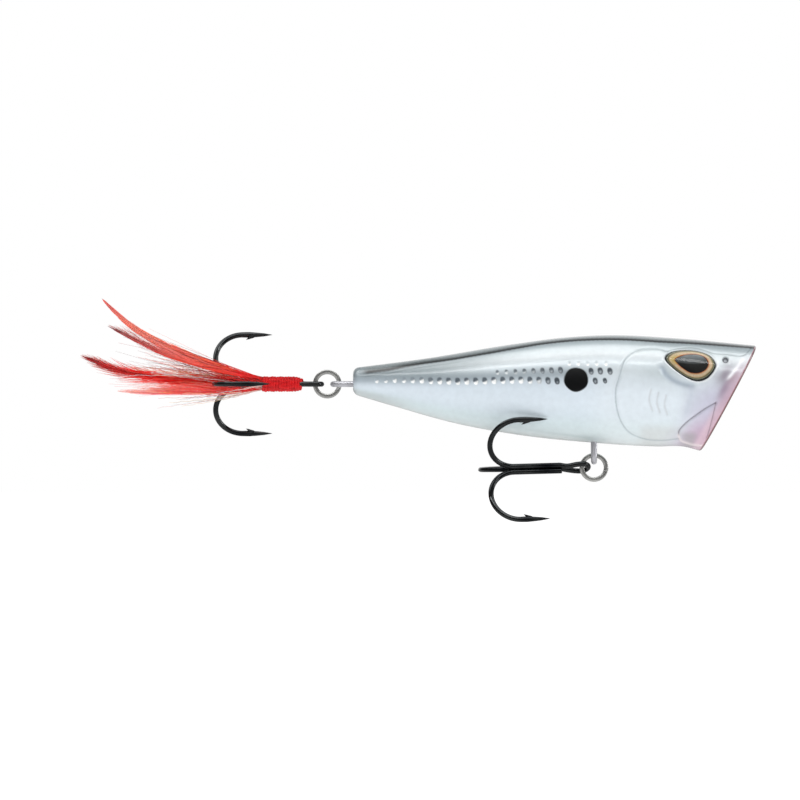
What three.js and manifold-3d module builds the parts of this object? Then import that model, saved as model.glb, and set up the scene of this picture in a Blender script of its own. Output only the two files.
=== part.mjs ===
// A topwater popper: a hollow hard-plastic fishing lure with a cupped mouth, two treble hooks on
// split rings, and a feather dressing tied to the tail hook.
// Millimetres. +X runs towards the nose, +Y to the lure's left flank, +Z up.
// The origin is the centre of the line-tie eye, which stands inside the mouth cup.
import * as THREE from "three";
import { mergeVertices } from "three/addons/utils/BufferGeometryUtils.js";
import Module from "manifold-3d";

const wasm = await Module();
wasm.setup();

// ---------------------------------------------------------------- driving dimensions
const BODY_LENGTH = 80;
const NOSE_X = 7.8; // tip of the upper lip
const TAIL_X = NOSE_X - BODY_LENGTH; // flat tail face
const TAIL_ROUND = 1.1; // edge radius of the tail face
const SECTION_POWER = 2.1; // superellipse power of every cross-section
const WALL = 1.3;
const AROUND = 28;

// Outline of the body as [x, value]: the back seen from the side, the belly, and half the width.
const BACK = [[-72.2, 4.35], [-58, 6.2], [-40.2, 9.1], [-30, 10.4], [-21, 10.83], [-8, 10.2], [7.8, 8.75]];
const BELLY = [
  [-72.2, -0.85], [-64, -3.27], [-52, -6.6], [-40.2, -8.8], [-25.3, -10.4], [-12, -11.2], [-6.6, -11.2],
  [-3.6, -12.05], [7.8, -12.1],
];
const HALF_WIDTH = [
  [-72.2, 2.75], [-58, 4.9], [-46, 6.6], [-34, 8.1], [-22, 9.15], [-10, 9.3], [0, 9.1], [7.8, 8.9],
];

const MOUTH_RAKE = THREE.MathUtils.degToRad(28.2); // the mouth plane leans back from the upper lip
const LIP_Z = 8.7; // height of the upper lip's tip
// The cup is half an ellipsoid, its centre this far below the upper lip's tip down the mouth plane.
const CUP = { below: 11.82, depth: 6, halfWidth: 7.9, halfHeight: 10.7, floor: 1.4 };

const WIRE = 1.15; // stainless wire of the hangers and the line tie
const EYE_RADIUS = 1.4; // centreline radius of a hanger's eye
const HANGER_FOOT = 1.9; // turned-out foot that anchors a hanger in its pocket
const SLOT_PLAY = 0.15;

const RING = { radius: 2.4, radial: 0.9, axial: 0.46, pitch: 0.52 }; // split ring, two flat turns
const SEAT = 1.145; // from a ring's centre to the centre of the hanger wire it hangs on

const BELLY_RING = new THREE.Vector3(-24.5, 0, -15.35);
const TAIL_RING = new THREE.Vector3(-77.3, 0, 1.15);

const HOOK = {
  wire: 1.05,
  length: 21.4, // from the end of the eye to the back of the bend
  bend: 5.34, // centreline radius of the round bend
  spread: 0.64, // from the treble's axis to each shank wire
  eye: 1.42, // half the width of the eye, to the wire's centre
  neck: 6.4, // where the shank wires meet below the eye
  cutEnd: 6, // where the brazed single hook begins
  reach: 11.7, // from the back of the bend to the point
  point: 3.9, // length of the tapered point
  barb: 5, // from the point's tip to the barb
};
const DRESSED_HOOK = { ...HOOK, length: 22.1 }; // the tail hook's longer shank leaves room for the wrap
const HOOK_EYE_SEAT = 1.12; // from a ring's centre to the centre of the hook's eye wire
// The belly hook lies back a little out to the right flank.
const BELLY_HOOK_LIE = { yaw: THREE.MathUtils.degToRad(-11), droop: THREE.MathUtils.degToRad(-1.4) };

const HACKLE_THICKNESS = 0.16; // half of a hackle's thickness
// Thread wrap, from and to along the tail hook from its eye.
const WRAP = { from: 4.9, to: 12.3, radius: 1.72, bore: 1.32, taper: 1.6 };

const EYE_CENTRE = new THREE.Vector3(-5.54, -8.15, 4.95); // right eye
const EYE_LEAN = THREE.MathUtils.degToRad(22); // the eye's face looks this much upwards
// Almond outline of an eye: a blunt corner at the back, full at the front and below.
const EYE_OUTLINE = [
  [4.95, 0], [3.9, 2.1], [0.2, 3.3], [-3.9, 2.9], [-5.1, 1.5], [-2.6, -1.6], [0.9, -3.35], [3.2, -2.7],
];
const EYE_PLATE = 0.45;
const EYE_POCKET = 0.95;

const HANGER_BOSS_HALF = 3.1;
const BULKHEADS = [-48.3, -29.8]; // centre of each cross wall
const BULKHEAD = 1.4;
const CAVITY_TAIL = -65.5;

const BALL = { radius: 2.25, x: -39.05, pitch: 4.65, count: 3 }; // rattle balls, in a row
const SHELF_Z = -2.7;
const SHELF = 0.8;
const RAIL = { y: 2.5, width: 0.6, height: 2.2 }; // a rail on each side keeps the balls in line

const WEIGHT = { radius: 2.7, length: 13, x: -57.2, z: 0.35 };
const WEIGHT_CRADLES = [-61.5, -53];

const PIN = { radius: 0.7, post: 1.6, length: 1.5, socket: 0.85 };
const PIN_PLACES = [[-39.05, 6.4], [-16, 6.6], [-14, -7.4]]; // x and z

// ---------------------------------------------------------------- materials
function paint(color, roughness, metalness = 0) {
  return new THREE.MeshStandardMaterial({ color, roughness, metalness });
}

const MATERIALS = {
  shell: paint(0xd3dde4, 0.25, 0.3),
  steel: paint(0xb9b9bc, 0.3, 1),
  hook: paint(0x26262a, 0.3, 1),
  iris: paint(0xc89458, 0.35, 0.6),
  lens: paint(0x15161a, 0.08),
  brass: paint(0xb08d4a, 0.4, 1),
  ball: paint(0xc8c8cc, 0.15, 1),
  thread: paint(0xc4141a, 0.6),
  hackle: paint(0xd6362c, 0.8),
  tinsel: paint(0xf1efe2, 0.3, 0.4),
};

// ---------------------------------------------------------------- helpers
function solid(geometry, matrix = new THREE.Matrix4()) {
  const bare = new THREE.BufferGeometry();
  const loose = geometry.index ? geometry.toNonIndexed() : geometry;
  bare.setAttribute("position", loose.getAttribute("position").clone());
  bare.applyMatrix4(matrix);
  const merged = mergeVertices(bare, 1e-4);
  const vertProperties = merged.attributes.position.array;
  const triVerts = new Uint32Array(merged.index.array);
  return new wasm.Manifold(new wasm.Mesh({ numProp: 3, vertProperties, triVerts }));
}

function geometryOf(manifold) {
  const { vertProperties, triVerts } = manifold.getMesh();
  const geometry = new THREE.BufferGeometry();
  geometry.setAttribute("position", new THREE.BufferAttribute(vertProperties, 3));
  geometry.setIndex(new THREE.BufferAttribute(triVerts, 1));
  geometry.computeVertexNormals();
  return geometry;
}

const root = new THREE.Group();

function add(name, geometry, material, parent = root) {
  const mesh = new THREE.Mesh(geometry.isBufferGeometry ? geometry : geometryOf(geometry), material);
  mesh.name = name;
  parent.add(mesh);
  return mesh;
}

const at = (x, y, z) => new THREE.Matrix4().makeTranslation(x, y, z);

function block([x0, y0, z0], [x1, y1, z1]) {
  const box = new THREE.BoxGeometry(x1 - x0, y1 - y0, z1 - z0);
  return solid(box, at((x0 + x1) / 2, (y0 + y1) / 2, (z0 + z1) / 2));
}

// A round rod along Y, from y0 to y1.
function rod(x, z, radius, y0, y1, sides = 12) {
  return solid(new THREE.CylinderGeometry(radius, radius, y1 - y0, sides), at(x, (y0 + y1) / 2, z));
}

function profile(points) {
  const cubic = new THREE.CubicInterpolant(points.map((p) => p[0]), points.map((p) => p[1]), 1);
  return (x) => cubic.evaluate(x)[0];
}

// A closed skin whose cross-sections place(along, angle) gives; along and angle index a closed cylinder.
function skin(stations, sides, place) {
  const tube = new THREE.CylinderGeometry(1, 1, 1, sides, stations.length - 1);
  const position = tube.attributes.position;
  for (let i = 0; i < position.count; i++) {
    const station = stations[Math.round((position.getY(i) + 0.5) * (stations.length - 1))];
    const [z, y] = [position.getX(i), position.getZ(i)];
    const { centre, rim } = place(station, Math.atan2(z, y));
    const point = Math.hypot(y, z) > 0.5 ? rim : centre;
    position.setXYZ(i, point.x, point.y, point.z);
  }
  return tube;
}

function regularPolygon(radius, sides) {
  const corners = Array.from({ length: sides }, (_, i) => {
    const a = (2 * Math.PI * (i + 0.5)) / sides;
    return new THREE.Vector2(radius * Math.cos(a), radius * Math.sin(a));
  });
  return new THREE.Shape(corners);
}

// A wire of constant section along a smooth line through the points.
function wire(points, section, steps) {
  const extrudePath = new THREE.CatmullRomCurve3(points, false, "centripetal");
  return new THREE.ExtrudeGeometry(section, { steps, extrudePath, bevelEnabled: false });
}

// Points of a circular arc about centre, from angle a0 to a1, in the plane of the unit vectors u and v.
function arc(centre, radius, u, v, a0, a1, count) {
  return Array.from({ length: count + 1 }, (_, i) => {
    const a = a0 + ((a1 - a0) * i) / count;
    return centre.clone().addScaledVector(u, radius * Math.cos(a)).addScaledVector(v, radius * Math.sin(a));
  });
}

// ---------------------------------------------------------------- body shape
const back = profile(BACK);
const belly = profile(BELLY);
const halfWidth = profile(HALF_WIDTH);

// A point on the body's skin, or inset from it, and the middle of its cross-section.
function bodySection(x, angle, inset) {
  const short = Math.max(0, TAIL_ROUND - (x - TAIL_X));
  const shrink = inset + TAIL_ROUND - Math.sqrt(TAIL_ROUND ** 2 - Math.min(short, TAIL_ROUND) ** 2);
  const bulge = (t) => Math.sign(t) * Math.abs(t) ** (2 / SECTION_POWER);
  const middle = (back(x) + belly(x)) / 2;
  const height = (back(x) - belly(x)) / 2 - shrink;
  const y = (halfWidth(x) - shrink) * bulge(Math.cos(angle));
  const z = middle + height * bulge(Math.sin(angle));
  return { centre: new THREE.Vector3(x, 0, middle), rim: new THREE.Vector3(x, y, z) };
}

function bodySolid(from, to, step, inset = 0) {
  const count = Math.max(1, Math.round((to - from) / step));
  const stations = Array.from({ length: count + 1 }, (_, i) => from + ((to - from) * i) / count);
  if (inset === 0) stations.splice(0, 1, from, from + 0.12, from + 0.4, from + 0.8, from + 1.3);
  return solid(skin(stations, AROUND, (x, angle) => bodySection(x, angle, inset)));
}

// Everything in front of the mouth plane, or of a plane set back behind it.
function aheadOfMouth(setBack) {
  const far = 40;
  const ahead = new THREE.Vector3(Math.cos(MOUTH_RAKE), 0, -Math.sin(MOUTH_RAKE));
  const lip = new THREE.Vector3(NOSE_X, 0, LIP_Z);
  const place = lip.addScaledVector(ahead, far / 2 - setBack);
  const matrix = new THREE.Matrix4().makeRotationY(MOUTH_RAKE).setPosition(place);
  return solid(new THREE.BoxGeometry(far, far, 2 * far), matrix);
}

function mouthCup() {
  const bowl = new THREE.SphereGeometry(1, 24, 14);
  bowl.rotateY(0.13); // keeps the bowl's corners off the parting plane
  bowl.scale(CUP.depth, CUP.halfWidth, CUP.halfHeight);
  const down = new THREE.Vector3(-Math.sin(MOUTH_RAKE), 0, -Math.cos(MOUTH_RAKE));
  const centre = new THREE.Vector3(NOSE_X, 0, LIP_Z).addScaledVector(down, CUP.below);
  return solid(bowl, new THREE.Matrix4().makeRotationY(MOUTH_RAKE).setPosition(centre));
}

// ---------------------------------------------------------------- eyes
// An almond disc, its edge given as [share of the outline, height] from the underside to the top.
function almond(levels, grow = 0) {
  const corners = [...EYE_OUTLINE, EYE_OUTLINE[0]].map(([a, b]) => new THREE.Vector2(a, b));
  const outline = new THREE.SplineCurve(corners).getPoints(24);
  const rim = outline.map((p) => p.multiplyScalar(1 + grow / p.length()));
  const disc = new THREE.LatheGeometry(levels.map(([share, height]) => new THREE.Vector2(share, height)), 24);
  const position = disc.attributes.position;
  for (let i = 0; i < position.count; i++) {
    const [share, height] = levels[i % levels.length];
    const edge = rim[Math.floor(i / levels.length) % 24];
    position.setXYZ(i, share * edge.x, share * edge.y, height);
  }
  return disc;
}

// From the eye's own frame, face along its +Z, to the right flank.
const EYE_MATRIX = new THREE.Matrix4()
  .makeRotationX(Math.PI / 2 - EYE_LEAN)
  .setPosition(EYE_CENTRE.x, EYE_CENTRE.y, EYE_CENTRE.z);
const mirrored = (manifold) => manifold.mirror([0, 1, 0]);

function eyePocket() {
  return solid(almond([[0, -EYE_POCKET], [1, -EYE_POCKET], [1, 3], [0, 3]], 0.3), EYE_MATRIX);
}

function eyePlate() {
  const floor = 0.3 - EYE_POCKET;
  const top = floor + EYE_PLATE;
  return solid(almond([[0, floor], [1, floor], [1, top], [0, top]]), EYE_MATRIX);
}

function eyeLens() {
  const floor = 0.35 - EYE_POCKET + EYE_PLATE;
  const dome = [[0, 0], [0.98, 0], [0.98, 0.12], [0.88, 0.45], [0.66, 0.75], [0.36, 0.92], [0, 0.98]];
  return solid(almond(dome.map(([share, height]) => [share, floor + height])), EYE_MATRIX);
}

// ---------------------------------------------------------------- hangers
// A wire staple: a round eye at the origin bulging along -Z, legs along +Z, and turned-out feet.
function staple(legs) {
  const [y, z] = [new THREE.Vector3(0, 1, 0), new THREE.Vector3(0, 0, 1)];
  const foot = (side) => new THREE.Vector3(side * HANGER_FOOT, side * EYE_RADIUS, legs);
  const knee = (side) => new THREE.Vector3(side * 0.4, side * EYE_RADIUS, legs);
  const ankle = (side) => new THREE.Vector3(0, side * EYE_RADIUS, legs - 0.5);
  const loop = arc(new THREE.Vector3(), EYE_RADIUS, y, z, 0, -Math.PI, 8);
  const points = [foot(1), knee(1), ankle(1), ...loop, ankle(-1), knee(-1), foot(-1)];
  return wire(points, regularPolygon(WIRE / 2, 8), 34);
}

// The slot that a staple drops into when the halves close on it.
function stapleSlot(legs) {
  const [thick, wide] = [WIRE / 2 + SLOT_PLAY, EYE_RADIUS + WIRE / 2 + SLOT_PLAY];
  const pocket = HANGER_FOOT + SLOT_PLAY;
  const slot = block([-thick, -wide, -4], [thick, wide, legs + thick]);
  return slot.add(block([-pocket, -wide, legs - thick], [pocket, wide, legs + thick]));
}

function axes(...columns) {
  return new THREE.Matrix4().makeBasis(...columns.map((column) => new THREE.Vector3(...column)));
}

const HANGERS = {
  belly_hanger: {
    legs: 6.6,
    matrix: at(BELLY_RING.x, 0, BELLY_RING.z + SEAT + EYE_RADIUS),
  },
  tail_hanger: {
    legs: 10.2,
    matrix: axes([0, 0, -1], [0, 1, 0], [1, 0, 0])
      .setPosition(TAIL_RING.x + SEAT + EYE_RADIUS, 0, TAIL_RING.z),
  },
  line_tie: {
    legs: 8.6,
    matrix: axes([0, -1, 0], [0, 0, 1], [-1, 0, 0]),
  },
};

// ---------------------------------------------------------------- shells
function insideOfBody() {
  const [aft, fore] = BULKHEADS;
  const half = BULKHEAD / 2;
  const rooms = [[CAVITY_TAIL, aft - half], [aft + half, fore - half], [fore + half, NOSE_X]];
  let hollow = rooms.map(([from, to]) => bodySolid(from, to, 4, WALL)).reduce((a, b) => a.add(b));
  hollow = hollow.subtract(aheadOfMouth(CUP.depth + CUP.floor));

  const bellyBoss = BELLY_RING.x;
  const kept = [
    block([bellyBoss - HANGER_BOSS_HALF, -5, -12], [bellyBoss + HANGER_BOSS_HALF, 5, -4.4]),
    block([-11.5, -2.4, -3.6], [0, 2.4, 3.6]), // line-tie boss behind the cup
    block([CAVITY_TAIL, -4, TAIL_RING.z - 1.6], [-63.3, 4, TAIL_RING.z + 1.6]),
    block([aft, -9, SHELF_Z - SHELF], [fore, 9, SHELF_Z]),
    ...[-RAIL.y - RAIL.width, RAIL.y].map((y) => {
      return block([aft, y, SHELF_Z - 0.1], [fore, y + RAIL.width, SHELF_Z + RAIL.height]);
    }),
    ...WEIGHT_CRADLES.map((x) => block([x - 0.5, -6, -9], [x + 0.5, 6, 9])),
    ...PIN_PLACES.map(([x, z]) => rod(x, z, PIN.post, -9.5, 9.5)),
  ];
  return kept.reduce((space, piece) => space.subtract(piece), hollow);
}

function shells() {
  const eyes = eyePocket();
  const bed = WEIGHT.radius + 0.15;
  const weightBed = new THREE.CylinderGeometry(bed, bed, WEIGHT.length + 0.4, 20);
  const cuts = [
    aheadOfMouth(0),
    mouthCup(),
    insideOfBody(),
    solid(weightBed.rotateZ(Math.PI / 2), at(WEIGHT.x, 0, WEIGHT.z)),
    eyes,
    mirrored(eyes),
    ...Object.values(HANGERS).map(({ legs, matrix }) => solid(geometryOf(stapleSlot(legs)), matrix)),
  ];
  const shaped = cuts.reduce((body, cut) => body.subtract(cut), bodySolid(TAIL_X, NOSE_X + 1, 3.2));
  const far = 100;
  const half = (y0, y1) => shaped.intersect(block([-far, y0, -far], [far, y1, far]));
  const pins = PIN_PLACES.map(([x, z]) => rod(x, z, PIN.radius, -1, PIN.length));
  const sockets = PIN_PLACES.map(([x, z]) => rod(x, z, PIN.socket, -1, PIN.length + 0.3));
  return {
    right: pins.reduce((a, b) => a.add(b), half(-far, 0)),
    left: sockets.reduce((a, b) => a.subtract(b), half(0, far)),
  };
}

// ---------------------------------------------------------------- split rings
function splitRing() {
  const [x, z] = [new THREE.Vector3(1, 0, 0), new THREE.Vector3(0, 0, 1)];
  const turns = 1.9;
  const count = 38;
  const points = arc(new THREE.Vector3(), RING.radius, x, z, -0.3, -0.3 + turns * 2 * Math.PI, count);
  points.forEach((p, i) => {
    // Each turn is flat; the wire steps across in the middle of its length.
    const across = THREE.MathUtils.smoothstep(i / count, 0.42, 0.58);
    p.y = RING.pitch * (across - 0.5);
  });
  const corners = [
    [1, 0.72], [0.72, 1], [-0.72, 1], [-1, 0.72], [-1, -0.72], [-0.72, -1], [0.72, -1], [1, -0.72],
  ];
  const [axial, radial] = [RING.axial / 2, RING.radial / 2];
  const section = new THREE.Shape(corners.map(([a, b]) => new THREE.Vector2(a * axial, b * radial)));
  return wire(points, section, 44);
}

// ---------------------------------------------------------------- treble hooks
// In a treble's own frame the eye's end is at the origin, the shank runs along -X, and a hook's
// direction is an angle from +Y towards +Z.
const outward = (angle) => new THREE.Vector3(0, Math.cos(angle), Math.sin(angle));
const along = (s, angle, r) => outward(angle).multiplyScalar(r).setX(-s);
const HOOK_ANGLES = { upper: (2 * Math.PI) / 3, lower: (4 * Math.PI) / 3, far: 0 };
const NATURAL_EYE = (5 * Math.PI) / 6;

// The line of one hook, from the shank at s to where its point begins to taper.
function hookLine(hook, angle, s) {
  const centre = hook.length - hook.wire / 2 - hook.bend;
  const middle = along(centre, angle, hook.spread + hook.bend);
  const out = outward(angle);
  const bend = arc(middle, hook.bend, new THREE.Vector3(-1, 0, 0), out, -Math.PI / 2, Math.PI / 2, 12);
  const leg = hook.spread + 2 * hook.bend;
  const taper = hook.length - hook.reach + hook.point;
  const shank = [along(s, angle, hook.spread), along(centre - 2, angle, hook.spread)];
  return [...shank, ...bend, along(taper, angle, leg)];
}

function hookPoint(hook, angle) {
  const leg = hook.spread + 2 * hook.bend;
  const tip = hook.length - hook.reach;
  const cone = new THREE.ConeGeometry(hook.wire / 2, hook.point + 0.1, 8).rotateZ(-Math.PI / 2);
  const point = solid(cone, at(-(tip + (hook.point + 0.1) / 2), leg, 0));
  const spur = new THREE.ConeGeometry(0.26, 1.7, 6).rotateZ(Math.PI / 2 + 0.42);
  const barb = solid(spur, at(-(tip + hook.barb - 0.35), leg - 0.52, 0));
  const turn = new THREE.Matrix4().makeRotationX(angle);
  return solid(geometryOf(point.add(barb)), turn);
}

function singleHook(hook, angle) {
  const line = wire(hookLine(hook, angle, hook.cutEnd), regularPolygon(hook.wire / 2, 8), 34);
  return solid(line).add(hookPoint(hook, angle));
}

// Two hooks bent from one wire, with the eye between them in the plane at eyeAngle.
function doubleHook(hook, angleA, angleB, eyeAngle) {
  const half = hook.wire / 2;
  const side = outward(eyeAngle);
  const forward = new THREE.Vector3(1, 0, 0);
  const end = new THREE.Vector3(-half - hook.eye, 0, 0);
  const loop = arc(end, hook.eye, side, forward, 0, Math.PI, 8);
  const shoulder = (sign) => side.clone().multiplyScalar(sign * hook.eye * 0.88).setX(-3.1);
  const hip = (sign) => side.clone().multiplyScalar(sign * 0.69).setX(-4.9);
  const up = hookLine(hook, angleA, hook.neck).reverse();
  const down = hookLine(hook, angleB, hook.neck);
  const points = [...up, hip(1), shoulder(1), ...loop, shoulder(-1), hip(-1), ...down];
  const line = solid(wire(points, regularPolygon(half, 8), 84));
  return line.add(hookPoint(hook, angleA)).add(hookPoint(hook, angleB));
}

function treble(prefix, hook, eyeAngle) {
  const group = new THREE.Group();
  const { upper, lower, far } = HOOK_ANGLES;
  add(`${prefix}_hook_pair`, doubleHook(hook, upper, far, eyeAngle), MATERIALS.hook, group);
  add(`${prefix}_hook_single`, singleHook(hook, lower), MATERIALS.hook, group);
  return group;
}

// ---------------------------------------------------------------- feather dressing
function threadWrap() {
  const { from, to, radius, bore, taper } = WRAP;
  const outline = [
    [bore, from], [bore + 0.12, from], [radius - 0.15, from + taper * 0.6], [radius, from + taper],
    [radius, to - 0.4], [radius - 0.12, to], [bore, to], [bore, from],
  ];
  const sleeve = new THREE.LatheGeometry(outline.map(([r, s]) => new THREE.Vector2(r, s)), 16);
  return sleeve.rotateZ(Math.PI / 2);
}

// A hackle is a thin blade along a curve from the wrap to its tip. lean turns its flat side about the curve.
function hackle(line, width, lean) {
  const points = line.map((p) => new THREE.Vector3(...p));
  const curve = new THREE.CatmullRomCurve3(points, false, "centripetal");
  const flat = new THREE.Vector3(0, Math.cos(lean), Math.sin(lean));
  const stations = Array.from({ length: 13 }, (_, i) => i / 12);
  // u runs from the tip to the root, so that the skin faces out
  return skin(stations, 6, (u, angle) => {
    const centre = curve.getPoint(1 - u);
    const tangent = curve.getTangent(1 - u).negate();
    const edge = new THREE.Vector3().crossVectors(flat, tangent).normalize();
    const normal = new THREE.Vector3().crossVectors(tangent, edge).normalize();
    const spread = 0.12 + width * Math.sin(Math.PI * Math.min(1, 0.08 + 0.92 * u)) ** 0.8;
    const rim = centre.clone().addScaledVector(normal, HACKLE_THICKNESS * Math.cos(angle));
    return { centre, rim: rim.addScaledVector(edge, -spread * Math.sin(angle)) };
  });
}

// Each hackle as its line from the wrap to the tip, half its widest width, and the lean of its flat side.
const HACKLES = {
  hackle_top: {
    line: [
      [-90.8, 0.4, 2.7], [-97.2, -0.1, 3.9], [-104.3, 0.6, 6.4],
      [-114.9, 1.6, 11.4], [-118.7, 1.8, 14.9], [-122, 1.8, 18.1],
    ],
    width: 0.75,
    lean: -0.3,
  },
  hackle_upper: {
    line: [
      [-90.8, -1.3, 2.3], [-97, -2.3, 3.2], [-104.3, -3.4, 5.2],
      [-109.6, -4, 7], [-114.9, -4.4, 9.6], [-120.6, -4.4, 12.6],
    ],
    width: 1.1,
    lean: 0.2,
  },
  hackle_middle: {
    line: [
      [-90.8, 1.6, 1.2], [-97, 1.8, 1.4], [-102, 1.4, 1.6],
      [-111.4, 0.6, 2.5], [-119, 0, 3.9], [-126.3, -0.4, 6.8],
    ],
    width: 1.15,
    lean: -0.15,
  },
  hackle_lower: {
    line: [
      [-90.8, -1.3, -0.1], [-97, -1.4, -0.9], [-104, -2.6, -0.7],
      [-112.5, -4.2, -0.4], [-118.6, -5, 0.6],
    ],
    width: 1.2,
    lean: 0.35,
  },
  hackle_bottom: {
    line: [
      [-90.8, 1.5, -0.1], [-97, 2.6, 0.3], [-104, 3.8, -0.2],
      [-110.5, 4.6, -0.9], [-116.6, 5, -0.7],
    ],
    width: 1.05,
    lean: -0.4,
  },
};

const TINSEL = {
  tinsel_low: [[-90.8, -0.1, -0.55], [-97.3, -0.2, -1.3], [-104, 1.4, -2.7], [-110.6, 2.6, -4.8]],
  tinsel_front: [[-90.8, -1.75, 1.1], [-98, -3.1, 2.2], [-107, -5, 3], [-114, -5.8, 4.2]],
  tinsel_back: [[-90.8, 1.2, 2.5], [-98, 3.6, 2.6], [-106, 4.6, 3.2], [-112, 5.2, 3.7]],
};

function tailDressing(hookGroup) {
  add("thread_wrap", threadWrap(), MATERIALS.thread, hookGroup);
  for (const [name, { line, width, lean }] of Object.entries(HACKLES)) {
    add(name, hackle(line, width, lean), MATERIALS.hackle);
  }
  for (const [name, line] of Object.entries(TINSEL)) {
    const points = line.map((p) => new THREE.Vector3(...p));
    add(name, wire(points, regularPolygon(0.16, 5), 10), MATERIALS.tinsel);
  }
}

// ---------------------------------------------------------------- assembly
const { right, left } = shells();
add("body_shell_right", right, MATERIALS.shell);
add("body_shell_left", left, MATERIALS.shell);

for (const [name, { legs, matrix }] of Object.entries(HANGERS)) {
  add(name, staple(legs).applyMatrix4(matrix), MATERIALS.steel);
}

add("eye_plate_right", eyePlate(), MATERIALS.iris);
add("eye_lens_right", eyeLens(), MATERIALS.lens);
add("eye_plate_left", mirrored(eyePlate()), MATERIALS.iris);
add("eye_lens_left", mirrored(eyeLens()), MATERIALS.lens);

const slug = new THREE.CylinderGeometry(WEIGHT.radius, WEIGHT.radius, WEIGHT.length, 20);
add("tail_weight", slug.rotateZ(Math.PI / 2), MATERIALS.brass).position.set(WEIGHT.x, 0, WEIGHT.z);
for (let i = 0; i < BALL.count; i++) {
  const ball = add(`rattle_ball_${i + 1}`, new THREE.SphereGeometry(BALL.radius, 14, 9), MATERIALS.ball);
  ball.position.set(BALL.x + (i - (BALL.count - 1) / 2) * BALL.pitch, 0, SHELF_Z + BALL.radius + 0.05);
}

add("belly_split_ring", splitRing(), MATERIALS.steel).position.copy(BELLY_RING);
add("tail_split_ring", splitRing(), MATERIALS.steel).position.copy(TAIL_RING);

// Hangs a treble's eye on the tail side of a ring.
function hangOn(ring, group, { roll = 0, droop = 0, yaw = 0 }) {
  group.rotation.set(roll, droop, -yaw, "ZYX");
  const reach = new THREE.Vector3(HOOK.wire / 2 + HOOK.eye, 0, 0).applyEuler(group.rotation);
  group.position.copy(ring).add(reach).add(new THREE.Vector3(-HOOK_EYE_SEAT - HOOK.eye, 0, 0));
  root.add(group);
}

const tailTreble = treble("tail", DRESSED_HOOK, Math.PI);
tailDressing(tailTreble);
hangOn(TAIL_RING, tailTreble, { roll: Math.PI });
hangOn(BELLY_RING, treble("belly", HOOK, NATURAL_EYE), BELLY_HOOK_LIE);

export default root;
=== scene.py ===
import math

import bpy
import numpy as np
from mathutils import Matrix, Vector


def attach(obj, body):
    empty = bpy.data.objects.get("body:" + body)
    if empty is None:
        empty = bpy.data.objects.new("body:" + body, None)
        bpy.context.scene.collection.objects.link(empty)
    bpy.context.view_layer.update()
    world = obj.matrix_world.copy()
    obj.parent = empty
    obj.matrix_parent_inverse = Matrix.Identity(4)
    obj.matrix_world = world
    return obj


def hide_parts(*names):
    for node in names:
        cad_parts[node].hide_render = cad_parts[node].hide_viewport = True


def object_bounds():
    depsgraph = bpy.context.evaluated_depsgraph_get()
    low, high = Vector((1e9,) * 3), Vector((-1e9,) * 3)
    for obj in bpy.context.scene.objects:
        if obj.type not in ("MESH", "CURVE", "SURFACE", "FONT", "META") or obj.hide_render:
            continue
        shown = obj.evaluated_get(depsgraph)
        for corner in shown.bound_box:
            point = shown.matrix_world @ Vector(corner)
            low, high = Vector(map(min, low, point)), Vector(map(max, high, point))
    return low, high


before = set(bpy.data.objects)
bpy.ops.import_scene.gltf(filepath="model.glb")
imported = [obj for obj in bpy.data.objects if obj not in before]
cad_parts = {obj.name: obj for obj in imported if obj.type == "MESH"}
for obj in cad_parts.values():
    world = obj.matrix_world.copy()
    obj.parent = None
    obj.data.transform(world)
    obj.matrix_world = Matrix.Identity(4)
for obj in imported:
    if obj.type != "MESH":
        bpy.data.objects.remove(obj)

cad_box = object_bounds()
MM = 0.001

# ---------------- dimensions, in mm
TAIL_X, NOSE_X = -72.2, 7.8
LIP_Z, AXIS_Z = 8.7, 1.15  # the mouth's top edge, and the tail hanger's axis
TAIL_FACE = np.array([TAIL_X, 0, AXIS_Z + 0.6])
TAIL_EDGE, LIP_EDGE = 1.1, 0.5  # radii of the rounded edges at the tail and the mouth
WALL = 0.35
RAKE = math.radians(28.2)
POWER = 2.1  # of the superellipse that the body's cross-section follows
BACK = [(-72.2, 4.35), (-58, 6.2), (-40.2, 9.1), (-30, 10.4), (-21, 10.83), (-8, 10.2), (7.8, 8.75)]
BELLY = [(-72.2, -0.85), (-64, -3.27), (-52, -6.6), (-40.2, -8.8), (-25.3, -10.4), (-12, -11.2),
         (-6.6, -11.25), (-3.6, -12.0), (7.8, -12.1)]
HALF_WIDTH = [(-72.2, 2.75), (-58, 4.9), (-46, 6.6), (-34, 8.1), (-22, 9.15), (-10, 9.3), (0, 9.1),
              (7.8, 8.9)]
# the mouth plane's own directions
UP = np.array([math.sin(RAKE), 0, math.cos(RAKE)])
AHEAD = np.array([math.cos(RAKE), 0, -math.sin(RAKE)])
SIDE = np.array([0, -1.0, 0])
MOUTH_REACH = 11.82  # from the lip's top down the mouth plane to its middle
MOUTH = np.array([NOSE_X - MOUTH_REACH * math.sin(RAKE), 0, LIP_Z - MOUTH_REACH * math.cos(RAKE)])
CUP_DEPTH, CUP_W, CUP_H = 6.0, 7.9, 10.7
EYE_AT, EYE_LEAN = np.array([-5.54, -8.15, 4.95]), math.radians(22)
EYE_UP = np.array([0, math.sin(EYE_LEAN), math.cos(EYE_LEAN)])
EYE_OUT = np.array([0, -math.cos(EYE_LEAN), math.sin(EYE_LEAN)])
EYE_LINE = [(4.7, 0), (3.7, 1.95), (0.2, 3.1), (-3.9, 2.75), (-5.1, 1.45), (-2.6, -1.5), (0.9, -3.2),
            (3.05, -2.55)]
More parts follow.
